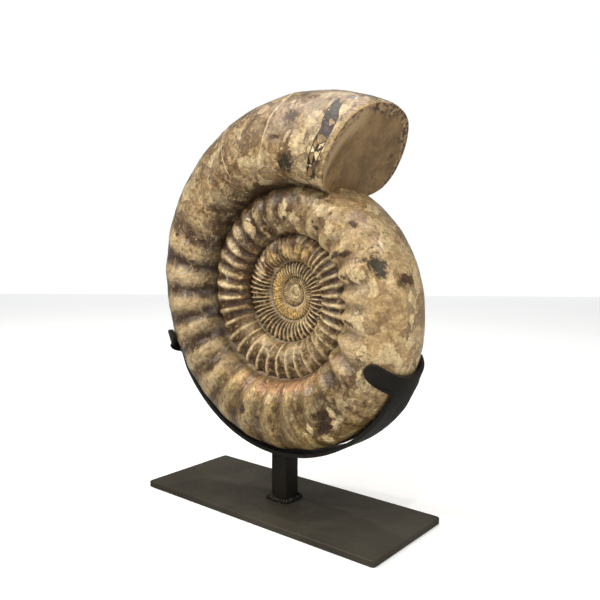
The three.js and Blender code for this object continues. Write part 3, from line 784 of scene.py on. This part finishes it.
class Graph:
    """A material and short calls that add nodes to it."""

    def __init__(self, name):
        self.material = bpy.data.materials.new(name)
        self.material.use_nodes = True
        self.tree = self.material.node_tree
        self.shader = self.tree.nodes["Principled BSDF"]
        self.point = self.node("TexCoord").outputs["Object"]

    def node(self, kind, feeds=(), **settings):
        made = self.tree.nodes.new("ShaderNode" + kind)
        for name, value in settings.items():
            setattr(made, name, value)
        for key, value in dict(feeds).items():
            self.feed(made.inputs[key], value)
        return made

    def feed(self, socket, value):
        if isinstance(value, bpy.types.NodeSocket):
            self.tree.links.new(value, socket)
        else:
            socket.default_value = value

    def finish(self, base, surface):
        """Sets the colour and the shader's other sockets by name, and gives back the material."""
        for name, value in {"Base Color": base, **surface}.items():
            self.feed(self.shader.inputs[name], value)
        return self.material

    def __getitem__(self, name):
        """A strength painted on the mesh."""
        return self.node("Attribute", attribute_name=name).outputs["Fac"]

    def noise(self, scale, detail=4, roughness=0.55, distortion=0.0, vector=None):
        feeds = {"Vector": vector or self.point, "Scale": scale, "Detail": detail,
                 "Roughness": roughness, "Distortion": distortion}
        return self.node("TexNoise", feeds).outputs["Fac"]

    def cells(self, scale, feature="F1", vector=None, output="Distance"):
        feeds = {"Vector": vector or self.point, "Scale": scale}
        return self.node("TexVoronoi", feeds, feature=feature).outputs[output]

    def cell_value(self, scale, vector, channel):
        """A random number for each cell."""
        colours = self.cells(scale, vector=vector, output="Color")
        return self.node("SeparateColor", {0: colours}).outputs[channel]

    def math(self, operation, a, b=0.0):
        return self.node("Math", {0: a, 1: b}, operation=operation).outputs[0]

    def times(self, a, b):
        return self.math("MULTIPLY", a, b)

    def plus(self, a, b):
        return self.math("ADD", a, b)

    def minus(self, a, b):
        return self.math("SUBTRACT", a, b)

    def ramp(self, value, low, high, to_low=0.0, to_high=1.0):
        feeds = {"Value": value, "From Min": low, "From Max": high, "To Min": to_low, "To Max": to_high}
        made = self.node("MapRange", feeds, interpolation_type="SMOOTHSTEP", clamp=True)
        return made.outputs[0]

    def mix(self, factor, a, b, blend="MIX"):
        feeds = {0: factor, 6: a, 7: b}
        return self.node("Mix", feeds, data_type="RGBA", blend_type=blend).outputs[2]

    def layered(self, base, *layers):
        """Colours laid over a base one after the other, each with its strength."""
        for strength, tone in layers:
            base = self.mix(strength, base, tone)
        return base

    def warped(self, scale, amount):
        """The place, pushed about by a noise, so that cells and lines come out crooked."""
        push = self.node("TexNoise", {"Vector": self.point, "Scale": scale, "Detail": 3.0})
        centred = self.node("VectorMath", {0: push.outputs["Color"], 1: (0.5, 0.5, 0.5)},
                            operation="SUBTRACT")
        scaled = self.node("VectorMath", {0: centred.outputs[0], "Scale": amount},
                           operation="SCALE")
        added = self.node("VectorMath", {0: self.point, 1: scaled.outputs[0]}, operation="ADD")
        return added.outputs[0]

    def along_ribs(self, per_turn, per_width):
        """A place stretched along the ribs, for streaks that run the way they do."""
        y = self.node("SeparateXYZ", {0: self.point}).outputs["Y"]
        feeds = {
            "X": self.times(self["turn"], per_turn),
            "Y": self.times(self["across"], per_width),
            "Z": self.times(self.math("SIGN", y), 5.0),
        }
        return self.node("CombineXYZ", feeds).outputs[0]

    def bump(self, height, distance, strength):
        feeds = {"Height": height, "Distance": distance, "Strength": strength}
        return self.node("Bump", feeds).outputs[0]


TAN = colour("9f8460")
BEIGE = colour("8e775c")
CREAM = colour("d6c2a2")
PALE = colour("f0e2c6")
BUFF = colour("c2a985")
BROWN = colour("573c22")
UMBER = colour("301f10")
VIOLET = colour("463026")
SLATE = colour("1a1710")
MOSS = colour("33331f")
GOLD = colour("d8c080")
OCHRE = colour("7c5c34")
PINK = colour("c08568")
RUST = colour("a8482c")
WARM_TINT = colour("fff6dc")


def ground_of_stone(g, wide, cloud, blotch, streak):
    """Olive brown clouds with cream and brown blotches, paler and darker by regions. The dark violet by
    the outer whorl's inner seam, at its top and left, is painted shade.
    """
    not_pale = g.minus(1.0, g["pale"])
    rich = g.times(not_pale, g.ramp(cloud, 0.5, 0.42, 0, 0.8))
    return g.layered(
        OCHRE,
        (g.ramp(cloud, 0.38, 0.6), TAN),
        (g.ramp(wide, 0.42, 0.6, 0, 0.6), BEIGE),
        (g.ramp(blotch, 0.52, 0.61, 0, 0.75), CREAM),
        (g.ramp(blotch, 0.48, 0.38, 0, 0.85), BROWN),
        (g.ramp(streak, 0.55, 0.66, 0, 0.5), CREAM),
        (g.ramp(streak, 0.45, 0.34, 0, 0.6), UMBER),
        (g.times(g["pale"], g.ramp(cloud, 0.34, 0.52, 0.45, 1.0)),
         g.mix(g.ramp(cloud, 0.42, 0.62), BUFF, CREAM)),
        (g.times(rich, g.ramp(blotch, 0.6, 0.45, 0.4, 1.0)), BROWN),
        # dark violet ground, in part painted shade by the outer whorl's inner seam
        (g.times(g["dark_stone_and_shade"], g.ramp(blotch, 0.64, 0.46, 0.45, 1.0)),
         g.mix(g.ramp(wide, 0.42, 0.58), VIOLET, UMBER)),
    )


def broken_pieces(g, base, wide, cloud):
    """Pieces of stone a little lighter or darker, with crooked dark joints between some of them."""
    crooked = g.warped(48, 0.03)
    joint = g.ramp(g.cells(60, "DISTANCE_TO_EDGE", crooked), 0.03, 0.0)
    large = g.times(joint, g.ramp(wide, 0.52, 0.6))
    joint = g.ramp(g.cells(150, "DISTANCE_TO_EDGE", g.warped(90, 0.02)), 0.05, 0.0)
    often = g.plus(cloud, g.times(g["pale"], 0.05))
    small = g.times(joint, g.ramp(often, 0.56, 0.62))
    crack = g.math("MAXIMUM", large, small)
    base = g.layered(
        base,
        (g.ramp(g.cell_value(60, crooked, "Red"), 0.7, 0.76, 0, 0.45), PALE),
        (g.ramp(g.cell_value(60, crooked, "Green"), 0.74, 0.8, 0, 0.5), BROWN),
        (g.times(crack, 0.8), UMBER),
    )
    return base, crack


def ribs_of_stone(g, base, wide, blotch, streak, hair):
    """Pale crests, partly worn stone and partly a painted highlight; dark valleys, partly filled stone and
    partly painted shade; and the golden and rosy stretches.
    """
    brown = g.mix(g.ramp(blotch, 0.42, 0.6), UMBER, BROWN)
    valley = g.mix(g.ramp(g.plus(wide, g["turn"]), 1.75, 1.95), VIOLET, brown)
    # The crests whiten towards PALE on the inner whorls as a painted highlight.
    crest = g.mix(g.ramp(g["turn"], 1.1, 1.3, 0, 0.6), CREAM, PALE)
    golden = g.layered(
        OCHRE,
        (g.ramp(streak, 0.4, 0.6), GOLD),
        (g.ramp(hair, 0.5, 0.64, 0, 0.85), CREAM),
        (g.times(g["valley_fill_and_shade"], 0.6), BROWN),
    )
    rosy = g.mix(g.ramp(hair, 0.45, 0.65), PINK, PALE)
    return g.layered(
        base,
        (g.times(g["valley_fill_and_shade"], g.ramp(blotch, 0.66, 0.5, 0.4, 1.0)), valley),
        (g.times(g["crest_wear_and_highlight"], g.ramp(blotch, 0.34, 0.56, 0.25, 1.0)), crest),
        (g.times(g["gold"], g.ramp(blotch, 0.38, 0.5, 0.3, 1.0)), golden),
        (g.times(g["blush"], g.ramp(blotch, 0.4, 0.56, 0.1, 0.8)), rosy),
    )


def patched(g, base, blotch):
    """The painted patches, with torn or angular edges, some with a thin dark outline."""
    torn = g.times(g.minus(g.noise(120, 7, 0.74, 0.8), 0.5), 4.0)
    angular = g.times(g.minus(g.cell_value(150, g.warped(70, 0.012), "Blue"), 0.45), 1.1)
    for name, tone, mottle, strength in (
        ("violet", VIOLET, UMBER, 0.7),
        ("cream", CREAM, PALE, 0.72),
        ("dark", BROWN, SLATE, 0.88),
        ("moss", MOSS, SLATE, 0.95),
        ("rust", RUST, PINK, 0.8),
    ):
        field = g.plus(g[name], angular if name == "cream" else torn)
        inside = g.ramp(field, 0.15, 0.8 if name == "violet" else 0.3)
        halo = {"cream": 0.4, "dark": 0.6, "moss": 0.6}.get(name, 0.0)
        if halo:
            base = g.mix(g.times(g.ramp(field, -0.25, 0.15), halo), base, BROWN)
        fill = g.mix(g.ramp(blotch, 0.42, 0.58), tone, mottle)
        shown = g.times(inside, g.ramp(blotch, 0.62, 0.52, strength - 0.45, strength))
        base = g.mix(shown, base, fill)
    return base


def mosaic(g, base, fine):
    """Narrow band of angular pieces behind the mouth, between two dark lines."""
    turn, across = g["turn"], g["across"]
    sway = g.times(g.minus(g.noise(25, 2), 0.5), 0.01)
    sway = g.plus(sway, g.ramp(across, 0.62, 0.92, 0.0, 0.007))
    middle = g.plus(g.ramp(across, 0.15, 0.6, 0.0155, 0.0125), sway)
    off = g.math("ABSOLUTE", g.minus(turn, middle))
    off = g.plus(off, g.ramp(across, 0.72, 0.9, 0.0, 0.003))
    ends = g.times(g.ramp(across, 0.1, 0.16), g.ramp(across, 0.91, 0.88))
    place_in = g.along_ribs(150.0, 14.0)
    pick = g.cell_value(1.0, place_in, "Red")
    tone = UMBER
    for start, piece in ((0.3, PALE), (0.55, TAN), (0.74, MOSS), (0.9, PALE)):
        tone = g.mix(g.ramp(pick, start, start + 0.02), tone, piece)
    gap = g.ramp(g.cells(1.0, "DISTANCE_TO_EDGE", place_in), 0.07, 0.02)
    tone = g.layered(tone, (g.ramp(fine, 0.55, 0.68, 0, 0.5), BROWN), (gap, UMBER))
    inside = g.times(g.ramp(off, 0.0055, 0.005), ends)
    border = g.times(g.ramp(off, 0.0066, 0.006), ends)
    rim = g.times(g.ramp(turn, 0.0055, 0.0025), g.ramp(across, 1.0, 0.9))
    worn_rim = g.times(rim, g.ramp(fine, 0.35, 0.6, 0.3, 0.8))
    return g.layered(base, (border, UMBER), (inside, tone), (worn_rim, BUFF))


def growth_lines(g, base):
    """Long thin pale lines, parallel to the mouth, where the shell stopped growing for a while."""
    turn, across = g["turn"], g["across"]
    sway = g.times(g.minus(g.noise(30, 3), 0.5), 0.008)
    for start, lean in CONSTRICTIONS:
        line = g.plus(g.ramp(across, 0.0, 1.0, start + lean, start), sway)
        off = g.math("ABSOLUTE", g.minus(turn, line))
        shown = g.times(g.ramp(off, 0.0014, 0.0006), g.ramp(across, 0.2, 0.35, 0, 0.6))
        base = g.mix(shown, base, PALE)
    return base


def stone_material():
    g = Graph("polished_stone")
    wide = g.noise(13, 4, 0.6, 0.6)
    cloud = g.noise(34, 6, 0.64, 0.9)
    blotch = g.noise(95, 6, 0.68, 1.2)
    fine = g.noise(320, 5, 0.62)
    grain = g.noise(190, 4, 0.66)
    streak = g.noise(1.0, 4, 0.6, 0.4, g.along_ribs(110.0, 3.5))
    hair = g.noise(1.0, 3, 0.6, 0.2, g.along_ribs(420.0, 5.0))

    base = ground_of_stone(g, wide, cloud, blotch, streak)
    base, crack = broken_pieces(g, base, wide, cloud)
    base = ribs_of_stone(g, base, wide, blotch, streak, hair)
    base = patched(g, base, blotch)
    base = growth_lines(g, base)
    base = mosaic(g, base, fine)

    # Specks, pale flecks, painted shade along the seams, pale seam lines and fine tone
    specks = g.ramp(g.noise(300, 2, 0.5), 0.66, 0.72)
    base = g.layered(
        base,
        (g.times(specks, g.ramp(cloud, 0.42, 0.6, 0.1, 0.85)), UMBER),
        (g.ramp(g.noise(240, 3, 0.6, 0.4), 0.33, 0.28, 0, 0.6), PALE),
        # painted shade along the seams between the whorls
        (g.times(g["seam_shade"], 0.75), UMBER),
    )
    rough = g.minus(1.0, g.times(g["pale"], 0.4))
    base = g.mix(rough, base, g.mix(1.0, base, g.ramp(grain, 0.38, 0.62, 0.74, 1.2), "MULTIPLY"))
    # The tone along the coil holds painted shade on the low stretch of the outer whorl.
    for factor in (g.ramp(fine, 0.34, 0.66, 0.82, 1.12), g["tone"], WARM_TINT):
        base = g.mix(1.0, base, factor, "MULTIPLY")
    base = g.mix(g.times(g["lip"], g.ramp(grain, 0.35, 0.5, 0.5, 0.95)), base, PALE)

    height = g.plus(g.times(fine, 0.5), g.times(blotch, 0.9))
    height = g.plus(height, g.times(g.plus(hair, grain), 0.4))
    height = g.minus(height, g.times(crack, 0.8))
    height = g.minus(height, g.times(specks, 0.5))
    return g.finish(base, {
        "Normal": g.bump(height, 0.0009, 0.9),
        "Roughness": g.ramp(blotch, 0.35, 0.65, 0.36, 0.55),
        "Specular IOR Level": 0.25,
        "Coat Weight": 1.0,
        "Coat Roughness": 0.08,
        "Coat IOR": 1.45,
        "Coat Normal": g.bump(g.plus(blotch, grain), 0.0016, 0.5),
    })


def dull_stone_material():
    g = Graph("dull_stone")
    wide = g.noise(22, 5, 0.6, 0.5)
    fine = g.noise(190, 6, 0.65)
    depth = g["depth"]
    front = g.ramp(g.node("SeparateXYZ", {0: g.point}).outputs["Y"], -0.02, -0.045)
    lip = g.times(front, g.ramp(g.plus(depth, g.times(wide, 0.2)), 0.45, 0.3))
    rim = g.ramp(g.plus(depth, g.times(g.minus(wide, 0.5), 0.5)), 0.16, 0.05)
    scratches = g.noise(1.0, 3, 0.6, 0.0, g.node("Mapping", {
        "Vector": g.point, "Rotation": (0.3, 0.5, 0.2), "Scale": (40.0, 420.0, 60.0)}).outputs[0])
    base = g.layered(
        colour("6d5534"),
        (g.ramp(wide, 0.38, 0.62), colour("866a43")),
        (g.ramp(fine, 0.54, 0.68, 0, 0.6), colour("967b50")),
        (g.ramp(fine, 0.45, 0.32, 0, 0.6), colour("4f3c28")),
        (g.ramp(g.noise(48, 6, 0.7, 0.8), 0.6, 0.7, 0, 0.8), UMBER),
        (g.times(lip, 0.85), colour("a58d66")),
        (g.times(rim, 0.8), g.mix(g.ramp(fine, 0.45, 0.58), VIOLET, TAN)),
        (g.ramp(scratches, 0.6, 0.75, 0, 0.35), colour("b6a47e")),
    )
    height = g.plus(g.times(fine, 0.8), g.times(scratches, 0.3))
    return g.finish(base, {
        "Normal": g.bump(height, 0.0009, 0.8),
        "Roughness": g.ramp(fine, 0.3, 0.7, 0.55, 0.75),
    })


def painted_steel(name, dark, light, roughness, grain):
    """Satin black paint on steel, with faint orange peel, dust and rubbed places."""
    g = Graph(name)
    wide = g.noise(9, 4, 0.55, 0.4)
    fine = g.noise(900, 3, 0.5)
    dust = g.noise(150, 6, 0.7)
    base = g.mix(g.ramp(wide, 0.35, 0.65), colour(dark), colour(light))
    base = g.mix(g.ramp(dust, 0.62, 0.78, 0, 0.25), base, colour("6e6a62"))
    return g.finish(base, {
        "Normal": g.bump(g.plus(fine, dust), grain, 0.5),
        "Roughness": g.ramp(dust, 0.35, 0.7, roughness - 0.05, roughness + 0.08),
        "Specular IOR Level": 0.22,
    })


# Camera, floor and light

CAMERA_PLACE = (0.5531, -0.6504, 0.3429)
CAMERA_YAW = radians(39.118)
CAMERA_PITCH = radians(4.93)
CAMERA_ROLL = radians(0.2815)
CAMERA_LENS = 40.05                   # millimetres, on a 36 mm sensor
WHITE = (1.0, 1.0, 1.0, 1.0)
BLACK = (0.0, 0.0, 0.0, 1.0)
FLOOR_HALF_SIZE = 6
FLOOR_GAP = 0.0002
WALL_PLACE = (-2.2, 2.7, 0)
WALL_YAW = radians(39)
ROOM_COLOUR = (1.0, 0.98, 0.95, 1.0)
ROOM_STRENGTH = 0.22

# Lamps: place, size and power. All are warm and aim at the middle of the object.
LAMP_AIM = (0, 0, 0.27)
LAMP_TINT = (1.0, 0.95, 0.87)
LAMPS = {
    "overhead": ((-0.2, -0.3, 2.1), 0.8, 7),
    "front_left": ((-1.2, -1.9, 1.6), 0.4, 16),
    "right_fill": ((2.2, -0.9, 1.1), 0.9, 10),
}
CEILING_LAMPS = [(-0.9, -1.3), (-0.1, -1.5), (0.8, -1.1), (-1.3, -0.2), (1.3, -0.1), (-0.5, 0.8)]
CEILING_HEIGHT = 2.2
CEILING_LAMP_SIZE = 0.05
CEILING_LAMP_POWER = 9.5


def look_along(yaw, pitch, roll):
    forward = Vector((-sin(yaw) * cos(pitch), cos(yaw) * cos(pitch), -sin(pitch)))
    right = Vector((cos(yaw), sin(yaw), 0))
    up = right.cross(forward)
    across = right * cos(roll) + up * sin(roll)
    above = up * cos(roll) - right * sin(roll)
    return Matrix((across, above, -forward)).transposed()


def add_camera():
    data = bpy.data.cameras.new("camera")
    data.lens = CAMERA_LENS
    data.sensor_width = 36
    data.clip_start = 0.02
    camera = bpy.data.objects.new("camera", data)
    turned = look_along(CAMERA_YAW, CAMERA_PITCH, CAMERA_ROLL).to_4x4()
    camera.matrix_world = Matrix.Translation(CAMERA_PLACE) @ turned
    bpy.context.scene.collection.objects.link(camera)
    bpy.context.scene.camera = camera


def add_light(name, place_at, size, power):
    data = bpy.data.lights.new(name, "AREA")
    data.shape = "DISK"
    data.size = size
    data.energy = power
    data.color = LAMP_TINT
    lamp = bpy.data.objects.new(name, data)
    lamp.location = place_at
    lamp.rotation_euler = (Vector(LAMP_AIM) - Vector(place_at)).to_track_quat("-Z", "Y").to_euler()
    bpy.context.scene.collection.objects.link(lamp)


def add_stage():
    """White floor and a lit white wall behind, a dim room and small ceiling lamps."""
    g = Graph("white_floor")
    tone = g.mix(g.noise(3, 2), colour("ebeef1"), colour("eff1f3"))
    matt = g.finish(tone, {"Roughness": 0.8, "Emission Color": WHITE, "Emission Strength": 0.3})
    half = FLOOR_HALF_SIZE
    corners = [(-half, -half, 0), (half, -half, 0), (half, half, 0), (-half, half, 0)]
    floor = mesh_object("floor", corners, [[0, 1, 2, 3]], [matt])
    floor.location.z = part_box("base_plate")[0].z - FLOOR_GAP

    lit = Graph("white_wall").finish(BLACK, {"Emission Color": WHITE, "Emission Strength": 1.0})
    corners = [(-5, 0, -1), (5, 0, -1), (5, 0, 4), (-5, 0, 4)]
    wall = mesh_object("back_wall", corners, [[0, 1, 2, 3]], [lit])
    wall.matrix_world = Matrix.Translation(WALL_PLACE) @ Matrix.Rotation(WALL_YAW, 4, "Z")
    for sheet in (floor, wall):
        sheet.visible_glossy = False

    world = bpy.data.worlds.new("studio")
    world.use_nodes = True
    world.node_tree.nodes["Background"].inputs["Color"].default_value = ROOM_COLOUR
    world.node_tree.nodes["Background"].inputs["Strength"].default_value = ROOM_STRENGTH
    bpy.context.scene.world = world
    for name, (place_at, size, power) in LAMPS.items():
        add_light(name, place_at, size, power)
    for k, (x, y) in enumerate(CEILING_LAMPS):
        add_light(f"ceiling_{k}", (x, y, CEILING_HEIGHT), CEILING_LAMP_SIZE, CEILING_LAMP_POWER)


def main():
    bpy.context.scene.view_settings.view_transform = "Standard"
    add_camera()
    black = painted_steel("satin_black_steel", "1f1c17", "2a2721", 0.42, 0.00006)
    grey = painted_steel("satin_plate_steel", "343028", "423e35", 0.46, 0.00005)
    gloss = painted_steel("glossy_weld", "1d1b18", "2a2824", 0.22, 0.00008)
    pieces = [
        (build_ammonite(stone_material(), dull_stone_material()), ["ammonite"], "fossil"),
        (build_cradle(black), ["cradle"], "black_steel"),
        (build_post(black), ["post"], "black_steel"),
        (build_foot_weld(gloss), ["weld_bead"], "black_steel"),
        (build_top_weld(black), [], "black_steel"),
    ]
    for piece, nodes, slot in pieces:
        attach(piece, "root")
        if nodes:
            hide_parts(*nodes)
    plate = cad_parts["base_plate"]
    plate.data.materials.clear()
    plate.data.materials.append(grey)
    add_stage()


main()
